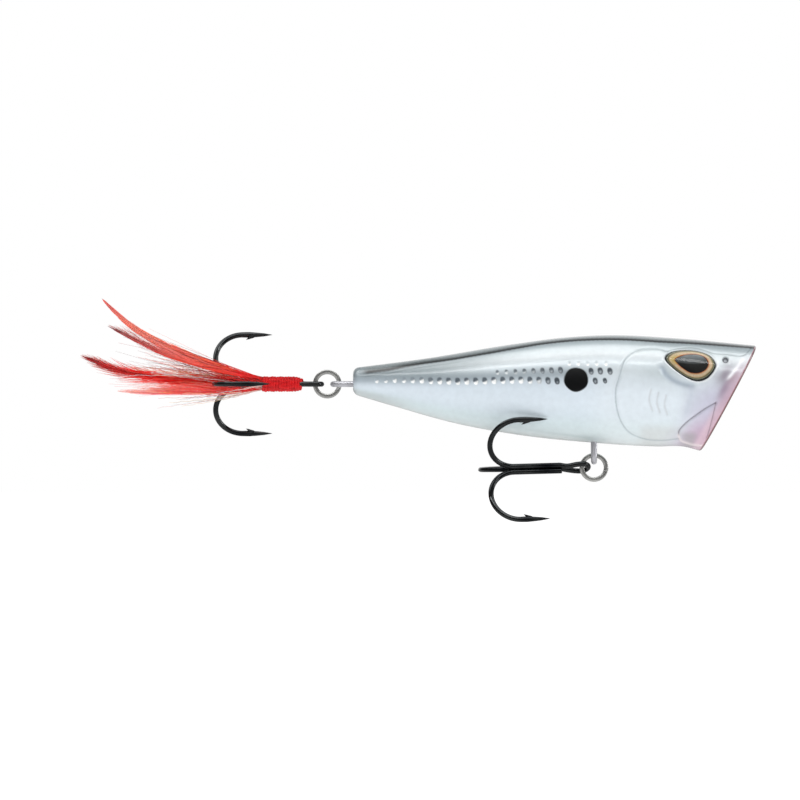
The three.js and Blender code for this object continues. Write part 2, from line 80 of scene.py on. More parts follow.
PUPIL_LINE = [(3.3, 0.2), (2.8, 1.4), (1.5, 2.1), (-0.7, 2.15), (-2.2, 1.75), (-3.2, 1.05), (-2.65, 0.2),
              (-1.65, -0.75), (-0.2, -1.65), (1.5, -1.7), (2.75, -1.0)]


def smooth(a, b, x):
    """0 before a, 1 past b, with a soft step between them."""
    t = np.clip((x - a) / (b - a), 0, 1)
    return t * t * (3 - 2 * t)


def hump(x, centre, width):
    """1 at the centre, falling away softly over the width on both sides."""
    return np.exp(-(((x - centre) / width) ** 2))


def read_at(at, stops, rows):
    """Rows of numbers that stand at stops, read at points between them."""
    return np.stack([np.interp(at, stops, rows[:, k]) for k in range(rows.shape[1])], -1)


def catmull(points, x):
    """A smooth line through (x, value) points, read at x."""
    p = np.array(points, float)
    xs, ys = p[:, 0], p[:, 1]
    slope = np.gradient(ys, xs)
    i = np.clip(np.searchsorted(xs, x) - 1, 0, len(xs) - 2)
    h = xs[i + 1] - xs[i]
    t = (x - xs[i]) / h
    return ((2 * t**3 - 3 * t**2 + 1) * ys[i] + (t**3 - 2 * t**2 + t) * h * slope[i]
            + (-2 * t**3 + 3 * t**2) * ys[i + 1] + (t**3 - t**2) * h * slope[i + 1])


def spline(points, count, closed=False):
    """Centripetal Catmull-Rom curve through the points, evenly spaced along its length."""
    p = np.array(points, float)
    if closed:
        p = np.vstack([p[-1], p, p[0], p[1]])
    else:
        p = np.vstack([2 * p[0] - p[1], p, 2 * p[-1] - p[-2]])
    out = []
    for k in range(1, len(p) - 2):
        p0, p1, p2, p3 = p[k - 1:k + 3]
        step = np.maximum(1e-6, np.linalg.norm(np.diff(p[k - 1:k + 3], axis=0), axis=1)) ** 0.5
        t0, t1, t2, t3 = 0, *np.cumsum(step)
        t = np.linspace(t1, t2, 24, endpoint=False)[:, None]
        between = lambda a, ta, b, tb: (tb - t) / (tb - ta) * a + (t - ta) / (tb - ta) * b
        a1, a2, a3 = between(p0, t0, p1, t1), between(p1, t1, p2, t2), between(p2, t2, p3, t3)
        out.append(between(between(a1, t0, a2, t2), t1, between(a2, t1, a3, t3), t2))
    out.append(p[-2][None])
    line = np.vstack(out)
    run = np.concatenate([[0], np.cumsum(np.linalg.norm(np.diff(line, axis=0), axis=1))])
    at = np.linspace(0, run[-1], count)
    return read_at(at, run, line)


def unit(vectors):
    return vectors / np.linalg.norm(vectors, axis=-1)[..., None]


def srgb(r, g, b):
    """A linear colour from 0 to 255 display values."""
    c = np.array([r, g, b], float) / 255
    return np.where(c <= 0.04045, c / 12.92, ((c + 0.055) / 1.055) ** 2.4)


def colour_line(stops):
    """Positions and linear colours of (position, (r, g, b)) stops."""
    return [s for s, _ in stops], np.array([srgb(*c) for _, c in stops])


# ---------------- mesh helpers
def new_object(name, data):
    ob = bpy.data.objects.new(name, data)
    bpy.context.scene.collection.objects.link(ob)
    return ob


def mesh_object(name, verts, faces, material, colour=None):
    """A smooth-shaded mesh of quads. verts are in mm, and colour is linear rgb per vertex."""
    verts, faces = np.asarray(verts, float), np.asarray(faces, int)
    me = bpy.data.meshes.new(name)
    me.vertices.add(len(verts))
    me.vertices.foreach_set("co", (verts * MM).astype(np.float32).ravel())
    n, k = faces.shape
    me.loops.add(n * k)
    me.polygons.add(n)
    me.loops.foreach_set("vertex_index", faces.astype(np.int32).ravel())
    me.polygons.foreach_set("loop_start", (np.arange(n) * k).astype(np.int32))
    me.polygons.foreach_set("use_smooth", np.full(n, True))
    me.update(calc_edges=True)
    me.validate()
    if colour is not None:
        layer = me.color_attributes.new("paint", "FLOAT_COLOR", "POINT")
        rgba = np.ones((len(verts), 4), np.float32)
        rgba[:, :colour.shape[1]] = colour
        layer.data.foreach_set("color", rgba.ravel())
    me.materials.append(material)
    return new_object(name, me)


def assign(ob, body, nodes=()):
    """Puts a piece on a body, in place of the CAD nodes it replaces."""
    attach(ob, body)
    if nodes:
        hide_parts(*nodes)


def grid_faces(rows, cols, wrap=False):
    i, j = np.meshgrid(np.arange(rows - 1), np.arange(cols if wrap else cols - 1), indexing="ij")
    a = i * cols + j
    b = i * cols + (j + 1) % cols
    return np.stack([a, b, b + cols, a + cols], -1).reshape(-1, 4)


def end_caps(count, sides):
    """Quads that close both ends of a tube of count points. The two end centres are the points after them."""
    j = np.arange(0, sides, 2)
    near, mid, far = j, j + 1, (j + 2) % sides
    start = np.stack([np.full(len(j), count), far, mid, near], 1)
    last = count - sides
    end = np.stack([np.full(len(j), count + 1), last + near, last + mid, last + far], 1)
    return np.vstack([start, end])


def frames(line):
    """Normal and binormal along a line, without twist."""
    t = unit(np.gradient(line, axis=0))
    n = np.zeros_like(t)
    ref = np.array([0, 1, 0]) if abs(t[0][1]) < 0.9 else np.array([1, 0, 0])
    n[0] = unit(np.cross(np.cross(t[0], ref), t[0]))
    for k in range(1, len(t)):
        n[k] = unit(n[k - 1] - t[k] * np.dot(n[k - 1], t[k]))
    return n, np.cross(t, n)


def tube(line, radius, sides=16, flats=None):
    """Verts and faces of a closed tube along line. radius is one number or one per point.
    flats is a vector per point whose two sides are pressed flat, and its length is how strongly."""
    line = np.asarray(line, float)
    n, b = frames(line)
    r = np.broadcast_to(np.asarray(radius, float), (len(line),))
    a = np.linspace(0, 2 * np.pi, sides, endpoint=False)
    out = np.cos(a)[None, :, None] * n[:, None] + np.sin(a)[None, :, None] * b[:, None]
    if flats is not None:
        flat_at, swell = 0.66, 0.08  # shares of the radius: where a flat lies, and how far the rest spreads
        strength = np.linalg.norm(flats, axis=1)[:, None]
        m = flats / np.maximum(strength, 1e-9)
        part = np.einsum("ijk,ik->ij", out, m)
        pressed = np.clip(part, -flat_at, flat_at)
        out = out * (1 + swell * strength[:, :, None])
        out = out + ((pressed - part * (1 + swell)) * strength)[:, :, None] * m[:, None]
    verts = (line[:, None] + r[:, None, None] * out).reshape(-1, 3)
    faces = grid_faces(len(line), sides, wrap=True)
    verts = np.vstack([verts, line[0], line[-1]])
    return verts, np.vstack([faces, end_caps(len(line) * sides, sides)])


def merged(parts):
    """Joins (verts, faces) or (verts, faces, colour) pieces into one."""
    verts, faces, *colours = zip(*parts)
    starts = np.cumsum([0] + [len(v) for v in verts[:-1]])
    return [np.vstack(verts), np.vstack([f + s for f, s in zip(faces, starts)]), *map(np.vstack, colours)]


# ---------------- materials
def feed(tree, node, inputs):
    """Sets a node's inputs to the values given, or links them where an output socket is given."""
    for socket, value in inputs.items():
        if isinstance(value, bpy.types.NodeSocket):
            tree.links.new(value, node.inputs[socket])
        else:
            node.inputs[socket].default_value = value
    return node


def add(tree, kind, inputs=None):
    return feed(tree, tree.nodes.new("ShaderNode" + kind), inputs or {})


def new_material(name):
    m = bpy.data.materials.new(name)
    m.use_nodes = True
    return m, m.node_tree, m.node_tree.nodes["Principled BSDF"]


def painted(tree):
    """The colours stored on the mesh."""
    paint = add(tree, "VertexColor")
    paint.layer_name = "paint"
    return paint.outputs["Color"]


def ramp(tree, value, stops):
    """value as a colour, by (position, (r, g, b)) stops."""
    r = add(tree, "ValToRGB", {"Fac": value})
    ends = r.color_ramp.elements
    ends[0].position, ends[1].position = stops[0][0], stops[-1][0]
    for at, _ in stops[1:-1]:
        ends.new(at)
    for end, (_, colour) in zip(ends, stops):
        end.color = (*srgb(*colour), 1)
    return r.outputs["Color"]


def noise(tree, scale, detail, stretch=(1, 1, 1)):
    place = add(tree, "Mapping", {"Vector": add(tree, "TexCoord").outputs["Object"], "Scale": stretch})
    n = add(tree, "TexNoise", {"Vector": place.outputs["Vector"], "Scale": scale, "Detail": detail})
    return n.outputs["Fac"]


def map_range(tree, value, lo, hi, a, b):
    """value between a and b, mapped to between lo and hi."""
    ends = {"From Min": a, "From Max": b, "To Min": lo, "To Max": hi}
    return add(tree, "MapRange", {"Value": value, **ends}).outputs["Result"]


def bump(tree, height, strength, distance):
    b = add(tree, "Bump", {"Height": height, "Strength": strength, "Distance": distance})
    return b.outputs["Normal"]


def tinted(tree, colour, value, amount):
    """colour with its brightness varied by value around 0.5."""
    mix = add(tree, "Mix")
    mix.data_type, mix.blend_type = "RGBA", "MULTIPLY"
    shade = map_range(tree, value, 1 - amount, 1 + amount, 0.25, 0.75)
    return feed(tree, mix, {"Factor": 1, "A": colour, "B": shade}).outputs["Result"]


def mix_shaders(tree, factor, first, second):
    """Makes a blend of two shaders the surface."""
    mix = add(tree, "MixShader", {"Fac": factor, 1: first.outputs["BSDF"], 2: second.outputs["BSDF"]})
    feed(tree, tree.nodes["Material Output"], {"Surface": mix.outputs["Shader"]})


def shell_material():
    m, tree, bsdf = new_material("pearl_shell")
    fine, cloud = noise(tree, 900, 2), noise(tree, 90, 3, (0.5, 1, 1.4))
    feed(tree, bsdf, {"Base Color": tinted(tree, tinted(tree, painted(tree), fine, 0.035), cloud, 0.03),
                      "Roughness": map_range(tree, cloud, 0.28, 0.36, 0, 1), "Metallic": 0.12,
                      "Coat Weight": 1, "Coat Roughness": 0.1, "Normal": bump(tree, fine, 0.08, 0.00004)})
    return m


def metal(name, dark, light, rough, scale, grain=(1, 1, 1), bump_by=0.01, metallic=1.0):
    """Metal whose colour and roughness vary between two values each."""
    m, tree, bsdf = new_material(name)
    n = noise(tree, scale, 4, grain)
    feed(tree, bsdf, {"Base Color": ramp(tree, n, [(0.3, dark), (0.7, light)]),
                      "Roughness": map_range(tree, n, *rough, 0.3, 0.7), "Metallic": metallic,
                      "Normal": bump(tree, n, bump_by, 0.00003)})
    return m


def fibre_material(name, rough, through):
    """Barbs and strands: the stored colours, with part of the light passing through."""
    m, tree, bsdf = new_material(name)
    base = tinted(tree, painted(tree), noise(tree, 1500, 2), 0.1)
    feed(tree, bsdf, {"Base Color": base, "Roughness": rough})
    mix_shaders(tree, through, bsdf, add(tree, "BsdfTranslucent", {"Color": base}))
    return m


def thread_material():
    m, tree, bsdf = new_material("tying_thread")
    n = noise(tree, 2600, 3, (0.3, 1, 1))
    reds = [(0.3, (168, 6, 12)), (0.55, (202, 10, 18)), (0.8, (226, 30, 30))]
    feed(tree, bsdf, {"Base Color": ramp(tree, n, reds), "Roughness": 0.55, "Specular IOR Level": 0.3,
                      "Normal": bump(tree, n, 0.5, 0.00005)})
    return m


def lens_material():
    m, tree, bsdf = new_material("clear_lens")
    tree.nodes.remove(bsdf)
    edge = add(tree, "Fresnel", {"IOR": 1.55}).outputs["Fac"]
    normal = bump(tree, noise(tree, 300, 2), 0.04, 0.00005)
    gloss = add(tree, "BsdfGlossy", {"Roughness": 0.02, "Normal": normal})
    mix_shaders(tree, edge, add(tree, "BsdfTransparent"), gloss)
    return m


def iris_material():
    m, tree, bsdf = new_material("iris_print")
    n = noise(tree, 1800, 3)
    feed(tree, bsdf, {"Base Color": tinted(tree, painted(tree), n, 0.12), "Metallic": 0.25, "Roughness": 0.4,
                      "Normal": bump(tree, n, 0.1, 0.00003)})
    return m


SHELL = shell_material()
# the hooks' lighter patches are a painted reflection, spread at random along the wire
HOOK = metal("black_nickel", (34, 36, 40), (90, 92, 92), (0.04, 0.09), 140)
STEEL = metal("bright_wire", (206, 206, 212), (234, 234, 240), (0.28, 0.36), 300, metallic=0.75)
RING = metal("ring_steel", (200, 200, 198), (226, 226, 222), (0.16, 0.24), 300, metallic=0.85)
BRASS = metal("turned_brass", (150, 118, 60), (190, 156, 92), (0.3, 0.45), 600, (8, 1, 1), 0.3)
BALL = metal("polished_ball", (190, 190, 194), (214, 214, 218), (0.06, 0.12), 400, bump_by=0.03)
THREAD = thread_material()
HACKLE = fibre_material("hackle_barbs", 0.42, 0.35)
FLASH = fibre_material("pearl_flash", 0.14, 0.25)
LENS = lens_material()
IRIS = iris_material()


# ---------------- body
def section(x, phi, inset=0.0):
    """Points of the right half's cross-section at x. phi is -90 degrees on the belly and 90 on the back."""
    bulge = lambda t: np.sign(t) * np.abs(t) ** (2 / POWER)
    top, low, wide = catmull(BACK, x), catmull(BELLY, x), catmull(HALF_WIDTH, x)
    y = -(wide - inset) * bulge(np.cos(phi))
    z = (top + low) / 2 + ((top - low) / 2 - inset) * bulge(np.sin(phi))
    return np.stack([x + 0 * y, y, z], -1)


def mouth_x(phi, back_by):
    """x where the outline at phi meets the mouth plane set back by back_by."""
    x = np.full_like(phi, 3.0)
    for _ in range(30):
        z = section(x, phi)[..., 2]
        x = 0.5 * x + 0.5 * (NOSE_X - (LIP_Z - z) * math.tan(RAKE) - back_by / math.cos(RAKE))
    return x


IN_TAIL, IN_FLANK, IN_LIP, IN_CUP = range(4)  # the parts of the shell that a row of points can lie in


def body_grid(n_along, n_round):
    """Rows of points of the right half, from the tail face along the flank, over the lip and into the cup."""
    # angles are spread so that points are even along the girth
    fine = np.linspace(-np.pi / 2, np.pi / 2, 4001)
    girth = section(np.full_like(fine, -20.0), fine)
    run = np.concatenate([[0], np.cumsum(np.linalg.norm(np.diff(girth, axis=0), axis=1))])
    phi = np.interp(np.linspace(0, run[-1], n_round), run, fine)
    rows, kind = [], []

    def add(row, part):
        rows.append(row)
        kind.append(part)

    def quarter(count):
        return np.linspace(0, np.pi / 2, count)

    face = section(np.full_like(phi, TAIL_X), phi, TAIL_EDGE)
    for t in np.linspace(0, 1, 12)[:-1]:
        add(TAIL_FACE + (face - TAIL_FACE) * t, IN_TAIL)
    for a in quarter(10)[:-1]:
        x = np.full_like(phi, TAIL_X + TAIL_EDGE * (1 - math.cos(a)))
        add(section(x, phi, TAIL_EDGE * (1 - math.sin(a))), IN_TAIL)
    front = mouth_x(phi, LIP_EDGE)
    for v in np.linspace(0, 1, n_along):
        add(section(TAIL_X + TAIL_EDGE + v * (front - TAIL_X - TAIL_EDGE), phi), IN_FLANK)
    flat = rows[-1] + AHEAD * LIP_EDGE
    u, s = (flat - MOUTH) @ UP, (flat - MOUTH) @ SIDE
    theta = np.arctan2(u / CUP_H, s / CUP_W)
    inner = MOUTH + (CUP_H * np.sin(theta))[:, None] * UP + (CUP_W * np.cos(theta))[:, None] * SIDE
    gap = np.linalg.norm(inner - flat, axis=1)[:, None]
    inward = (inner - flat) / gap
    r = np.minimum(LIP_EDGE, gap * 0.45)
    for a in quarter(9)[1:]:
        add(flat - AHEAD * (LIP_EDGE * (1 - math.sin(a))) + inward * (r * (1 - math.cos(a))), IN_LIP)
    for t in np.linspace(0, 1, 4)[1:]:
        add(flat + inward * (r + (gap - 2 * r) * t), IN_LIP)
    for a in quarter(9)[1:]:
        add(flat + inward * (gap - r + r * math.sin(a)) - AHEAD * (LIP_EDGE * (1 - math.cos(a))), IN_CUP)
    for a in np.linspace(math.asin(LIP_EDGE / CUP_DEPTH), np.pi / 2, 60)[1:]:
        add(MOUTH + (inner - MOUTH) * math.cos(a) - AHEAD * (CUP_DEPTH * math.sin(a)), IN_CUP)
    return np.array(rows), np.array(kind)


def line_distance(x, z, points):
    """Distance from each (x, z) to a smooth line through the points."""
    line = spline(points, 260)
    best = np.full(x.shape, np.inf)
    for chunk in np.array_split(line, 13):
        d = (x[..., None] - chunk[:, 0]) ** 2 + (z[..., None] - chunk[:, 1]) ** 2
        best = np.minimum(best, d.min(-1))
    return np.sqrt(best)


def local_eye(p):
    """Coordinates in the right eye's own frame: a to the nose, b up, h out of the face."""
    rel = p - EYE_AT
    return rel[..., 0], rel @ EYE_UP, rel @ EYE_OUT


def outline_share(a, b, outline):
    """How far out (a, b) is, as a share of the closed outline in its direction."""
    line = spline(outline, 241, closed=True)[:-1]
    ang = np.arctan2(line[:, 1], line[:, 0])
    rad = np.hypot(line[:, 0], line[:, 1])
    return np.hypot(a, b) / np.interp(np.arctan2(b, a), ang, rad, period=2 * np.pi)


def tail_frame(points):
    """Points given from the tail face and the tail hanger's axis, as (along, up)."""
    return [(x + TAIL_X, z + AXIS_Z) for x, z in points]


GILL = tail_frame([(62.1, 6.4), (60.5, 6.9), (58, 7.0), (55.6, 6.4), (53.6, 4.7), (52.5, 1.6), (51.7, -1.2),
                   (51.9, -4.6), (52.9, -7.6), (54.5, -9.6), (57.5, -10.9), (60.8, -11.2), (64.1, -10.9)])
JAW_BACK = tail_frame([(71.4, -3.7), (69.6, -4.7), (67.6, -6.1), (65.4, -7.9), (64.3, -9.3), (64.2, -10.1)])
JAW_FRONT = tail_frame([(71.4, -3.7), (70.9, -6), (70.3, -8.6), (69.5, -11.6)])
JAW_RIDGE = tail_frame([(64.2, -10.1), (64.7, -11.0), (66.8, -11.8), (69, -12.1)])
BROW = tail_frame([(62.1, 6.5), (64.3, 7.05), (67, 7.2), (69.6, 6.6), (71, 6.1), (73.8, 5.85), (76.8, 5.65),
                   (78.6, 7.0)])
CHEEK = tail_frame([(60.9, 3.1), (61.9, 1.6), (64.2, 0.2), (66.6, -0.4)])
CHEEK_EDGE = tail_frame([(66.6, -0.4), (66.5, -2.4), (65.5, -5.6)])
CREASES = [tail_frame([(58.6 + 1.5 * k, -1.2 - 0.5 * k), (58.3 + 1.5 * k, -3.2 - 0.5 * k),
                       (58.9 + 1.5 * k, -5.2 - 0.4 * k)]) for k in range(3)]
SPOT = tail_frame([(43.95, 0.85)])[0]
NOSTRIL = tail_frame([(73.4, 4.75)])[0]


def scale_marks():
    """(x, z, size, highlight, dark, full) of each scale dimple, in rows. highlight is the strength of the
    painted highlight in its lower part, dark that of the painted shade in its upper part and rim, and full is
    how dark it is all over.
    """
    marks = []
    for k in range(21):
        x = 4.7 + 1.775 * k
        marks.append((x, 0.66 + 0.12 * math.sin(k * 0.5), 0.8 + 0.3 * smooth(4, 20, x), smooth(46, 34, x),
                      smooth(7, 20, x), smooth(35, 40, x)))
    marks += [(47.7, 0.6, 1.0, 0, 1, 1), (49.6, 0.65, 0.85, 0, 1, 1)]
    for k in range(8):
        x = 28.5 + 1.77 * k
        marks.append((x, 2.3 + 0.06 * k, 0.72 + 0.045 * k, 0.3, 0.8, 0.12 * k))
    marks += [(46.9, 2.5, 1.05, 0, 1, 0.75), (48.7, 2.55, 1.1, 0, 1, 0.9), (50.6, 2.5, 1.1, 0, 1, 0.8)]
    marks += [(42.6 + 1.8 * k, 4.05, 0.72, 1, 0, 0) for k in range(5)]
    return [(x + TAIL_X, z + AXIS_Z, *rest) for x, z, *rest in marks]


# the silver's colours from the belly, 0, to the back, 1, with a painted highlight band high on the flank,
# near 0.82, above a painted darker reflection band, near 0.6 to 0.68
SILVER_AND_REFLECTIONS = [(0, (208, 216, 216)), (0.06, (200, 212, 214)), (0.16, (202, 216, 220)), (0.26, (210, 222, 230)),
          (0.36, (217, 228, 237)), (0.5, (214, 225, 234)), (0.6, (200, 211, 219)), (0.68, (196, 206, 211)),
          (0.74, (212, 222, 227)), (0.82, (226, 233, 236)), (0.88, (216, 226, 229)), (0.94, (188, 201, 206)),
          (1, (186, 199, 204))]


def paint_and_relief(p, kind):
    """Linear colour and outward relief in mm for each point of the right half, how far out it is as a share
    of the eye's outline, and whether it is on the eye's side."""
    x, z = p[..., 0], p[..., 2]
    top, low = catmull(BACK, np.clip(x, TAIL_X, NOSE_X)), catmull(BELLY, np.clip(x, TAIL_X, NOSE_X))
    t = np.clip((z - low) / (top - low), 0, 1)
    col = read_at(t, *colour_line(SILVER_AND_REFLECTIONS))
    relief = np.zeros(x.shape)
    grain = np.sin(x * 7.3 + 3 * np.sin(z * 2.1)) * 0.5 + np.sin(x * 17.1 + z * 5) * 0.3

    def lay(mask, rgb, rows=slice(None)):
        """Blends a colour over the rows, by a mask of 0 to 1."""
        col[rows] += (srgb(*rgb) - col[rows]) * np.clip(mask, 0, 1)[..., None]

    def on(part):
        return (kind == part)[:, None] * np.ones(x.shape)

    # the silver: painted shade dulls it high on the tail, it is greyer low at the tail's end, a painted dark
    # reflection band follows the lateral line, and it is whiter on the gill cover
    lay(0.8 * smooth(-42, -60, x) * smooth(0.58, 0.7, t), (132, 144, 148))
    lay(0.5 * smooth(-34, -50, x) * smooth(0.74, 0.86, t), (150, 162, 166))
    lay(0.45 * smooth(-58, -68, x) * smooth(0.3, 0.12, t), (172, 176, 176))
    reflection_band_z = AXIS_Z + np.interp(x, [TAIL_X, -54, -36, -28], [0.9, 1.0, 1.95, 2.2])
    lay(0.7 * smooth(-22, -30, x) * hump(z, reflection_band_z, 0.95), (140, 152, 160))
    lay(0.3 * smooth(-28, -20, x) * smooth(0.8, 0.6, t), (232, 238, 241))
    lay(0.45 * hump(x, -11.8, 3.6) * hump(z, 3.6, 1.9), (176, 188, 192))
    lay(0.7 * smooth(-17, -14, x) * smooth(-6.2, -8.4, z), (200, 204, 204))
    # a soft darker patch on the belly around the hanger's foot
    lay(0.45 * hump(x, -25.0, 2.8) * hump(z, -9.9, 1.1), (140, 156, 158))
    lay(0.4 * smooth(-9, -5.5, x) * smooth(0.62, 0.5, t) * smooth(-6.5, -4, z), (186, 190, 204))
    # smoky back: a dark line painted a little below the top edge; the paler strip above it is a painted
    # reflection of the grazing light along the top
    depth = np.interp(x, [TAIL_X, -68.5, -65, -62, -58, -52, -44, -36, -28, -20, -12, -4, 2, 6],
                      [1.2, 1.25, 1.25, 1.0, 0.9, 1.05, 1.05, 0.8, 0.8, 0.9, 1.0, 0.8, 0.65, 0.55])
    below = top - depth - z + 0.04 * grain
    along = smooth(TAIL_X + 1.2, TAIL_X + 3.2, x)
    soft, hard = np.interp(x, [-66, -50], [0.6, 0.42]), np.interp(x, [-66, -52], [0.34, 0.17])
    lay(smooth(1.4, 0.0, below) * (0.25 + 0.3 * smooth(-14, -9, x)), (150, 162, 168))
    lay(smooth(0.1, -0.2, below) * along * 0.7, (168, 178, 180))
    lay(hump(below, 0, np.where(below < 0, soft, hard)) * along * 0.97, (12, 15, 17))
    lay(0.5 * hump(below, 0.75, 0.14) * smooth(-46, -60, x) * along, (96, 106, 110))
    # lavender throat and jaw
    reach = (MOUTH - p) @ AHEAD
    near = on(IN_FLANK)
    lay(near * 0.7 * smooth(9.0, 2.2, reach) * smooth(0.84, 0.4, t), (196, 190, 212))
    lay(near * 0.8 * smooth(6.5, 1.5, reach) * smooth(0.42, 0.1, t), (196, 160, 186))
    lay(near * 0.75 * smooth(-8.5, -6.0, x) * smooth(-3.2, -5.6, x) * smooth(-7.8, -9.2, z), (164, 160, 164))
    lay(near * 0.85 * smooth(2.4, 1.0, reach) * smooth(0.5, 0.3, t), (240, 224, 234))
    lay(near * 0.75 * smooth(2.9, 0.8, reach) * smooth(0.95, 0.6, t), (196, 160, 178))
    # painted purple shade in front of the eye, from the nostril down behind the white streak towards the jaw
    lay(near * 0.7 * hump(x - 0.4 * z, -0.1, 1.5) * hump(z, 3.1, 2.1), (118, 98, 114))
    lay(near * 0.7 * hump(x - 0.5 * z, 0.75, 0.9) * hump(z, 0.3, 2.1), (142, 118, 140))
    lay(near * 0.55 * hump(x - 0.78 * z, 0.75, 0.6) * hump(z, 2.4, 1.2), (176, 146, 158))
    # the streak is a painted white highlight slanting up across the face towards the lip
    streak = x - 0.78 * z + 0.05
    lay(near * 0.9 * hump(streak, 0, 0.42) * smooth(1.6, 2.8, z) * smooth(6.9, 5.4, z), (248, 248, 252))
    # rim and cup
    lip, cup = on(IN_LIP), on(IN_CUP)
    lay(lip, (200, 162, 172))
    lay(lip * smooth(0.42, 0.22, reach) * 0.9, (104, 62, 64))
    lay(cup, (200, 96, 98))
    lay(cup * smooth(0.5, 5.5, reach) * 0.8, (158, 40, 46))

    flank = near * (x > TAIL_X + 1)
    row_x = x[:, x.shape[1] // 2]
    head = np.where((kind == IN_FLANK) & (row_x > -26))[0]

    def groove(points, width, depth, rgb=(0, 0, 0), strength=0, paint_width=1):
        """A groove along the points, with a colour painted along it: painted shade in a groove, a painted
        highlight on a ridge. A negative depth makes a ridge.
        """
        d = line_distance(x[head], z[head], points)
        relief[head] -= depth * hump(d, 0, width)
        lay(strength * hump(d, 0, paint_width), rgb, head)

    # the darker lines painted along the grooves are painted shade; the pale line on the jaw ridge is a
    # painted highlight
    groove(GILL, 0.3, 0.2, (158, 170, 176), 0.75, 0.13)
    groove([(a - 0.32, b + 0.05) for a, b in GILL], 0.3, -0.09)
    groove(JAW_BACK, 0.26, 0.24, (104, 100, 110), 0.85, 0.12)
    groove(JAW_FRONT, 0.22, 0.16, (120, 100, 112), 0.7, 0.1)
    groove(JAW_RIDGE, 0.34, -0.16, (236, 226, 226), 0.6, 0.25)
    groove(BROW, 0.16, 0.08, (112, 124, 130), 0.5, 0.1)
    groove(CHEEK, 0.75, 0.22, (150, 164, 178), 0.7, 0.6)
    groove(CHEEK_EDGE, 0.6, 0.07, (196, 204, 216), 0.5, 0.5)
    for crease in CREASES:
        groove(crease, 0.32, 0.12, (196, 200, 204), 0.6, 0.2)
    # nostril: painted shade darkens the pit, with a paler ring painted near its middle
    d = np.hypot((x - NOSTRIL[0]) * 0.95, z - NOSTRIL[1])
    relief -= flank * 0.4 * smooth(0.72, 0.3, d)
    relief += flank * 0.08 * hump(d, 0.85, 0.18)
    lay(flank * smooth(0.66, 0.5, d), (96, 100, 106))
    lay(flank * hump(d, 0.18, 0.16) * smooth(0.5, 0.2, d) * 0.5, (190, 195, 200))
    # scale dimples: painted shade in the upper part and along the upper rim of each, and a painted highlight
    # in its lower part
    for k, (mx, mz, size, highlight, dark, full) in enumerate(scale_marks()):
        sel = np.where((kind == IN_FLANK) & (np.abs(row_x - mx) < 2.2))[0]
        dx, dz = x[sel] - mx, z[sel] - mz
        across, up = (dx + 0.12 * dz) / (0.46 * size), dz / (0.64 * size)
        d = (np.abs(across) ** 2.4 + np.abs(up) ** 2.4) ** (1 / 2.4)
        hole = smooth(1.1, 0.86, d)
        relief[sel] -= 0.17 * size * smooth(1.1, 0.4, d)
        shade = smooth(-0.35, 0.35, up - 0.3 * across + 0.25 * math.sin(k * 2.3))
        shade = np.maximum(shade, full * smooth(0.25, 0.75, d + 0.3 * shade))
        outline = 0.45 * hump(d, 1.0, 0.12) * smooth(-0.9, 0.3, up)
        lay(hole * (1 - shade) * (0.4 + 0.6 * highlight) * (1 - 0.75 * full), (253, 254, 254), sel)
        lay(dark * np.maximum(0.92 * hole * shade, outline), (74, 84, 93), sel)
        lay(0.65 * hole * (1 - shade) * full, (84, 96, 106), sel)
        lay(0.55 * hole * shade * full, (36, 42, 50), sel)
    # round flank spot
    d = np.hypot(x - SPOT[0], z - SPOT[1]) + 0.03 * np.sin(5 * np.arctan2(z - SPOT[1], x - SPOT[0]) + 0.6)
    lay(flank * smooth(2.47, 2.3, d), (5, 6, 8))
    # eye socket
    a, b, h = local_eye(p)
    share = outline_share(a, b, EYE_LINE)
    side = flank * (h > -4)
    past = share - 1.02
    lay(side * smooth(0.02, -0.015, past) * (share > 0.5), (26, 28, 28))
    relief += side * 0.12 * hump(past, 0.08, 0.06)
    lay(side * 0.75 * hump(past, 0.075, 0.045) * smooth(2.6, 0.0, b), (244, 246, 248))
    return col, relief, share, side


def make_shells():
    rows, kind = body_grid(500, 200)
    normal = np.cross(np.gradient(rows, axis=0), np.gradient(rows, axis=1))
    normal /= np.maximum(np.linalg.norm(normal, axis=-1), 1e-9)[..., None]
    colour, relief, share, near_eye = paint_and_relief(rows, kind)
    out = rows + normal * relief[..., None]
    # parting line between the halves
    seam = hump(rows[..., 1], 0, 0.12) * (kind[:, None] == IN_FLANK)
    out -= normal * (0.05 * seam)[..., None]
    # the socket floor that the iris lies on
    h = local_eye(out)[2]
    sunk = near_eye * smooth(1.04, 1.01, share)
    out += EYE_OUT * ((np.minimum(h, -0.72) - h) * sunk)[..., None]
    # the halves stop just short of the middle plane
    out[..., 1] = np.minimum(out[..., 1], -0.004)
    verts, colour, faces = out.reshape(-1, 3), colour.reshape(-1, 3), grid_faces(*rows.shape[:2])
    for side, name in ((1, "right"), (-1, "left")):
        ob = mesh_object("shell_" + name, verts * [1, side, 1], faces[:, ::-side], SHELL, colour)
        wall = ob.modifiers.new("wall", "SOLIDIFY")
        wall.thickness, wall.offset = WALL * MM, -1
        assign(ob, "lure_body", ["body_shell_" + name])


make_shells()


# ---------------- eyes
IRIS_EDGE, IRIS_FOOT, LENS_CROWN = -0.2, -0.62, 0.56  # heights in the eye's frame
# the iris's colours: 0 is its centre, 1 the pupil's edge and 2 the rim
IRIS_BANDS = [(0, (2, 2, 3)), (0.985, (3, 3, 4)), (1.03, (150, 76, 36)), (1.09, (226, 146, 92)),
              (1.2, (244, 208, 168)), (1.42, (246, 228, 198)), (1.58, (236, 210, 166)),
              (1.68, (166, 148, 104)), (1.76, (112, 112, 84)), (1.84, (160, 162, 138)), (1.91, (84, 88, 76)),
              (1.96, (24, 26, 26)), (2, (14, 16, 16))]


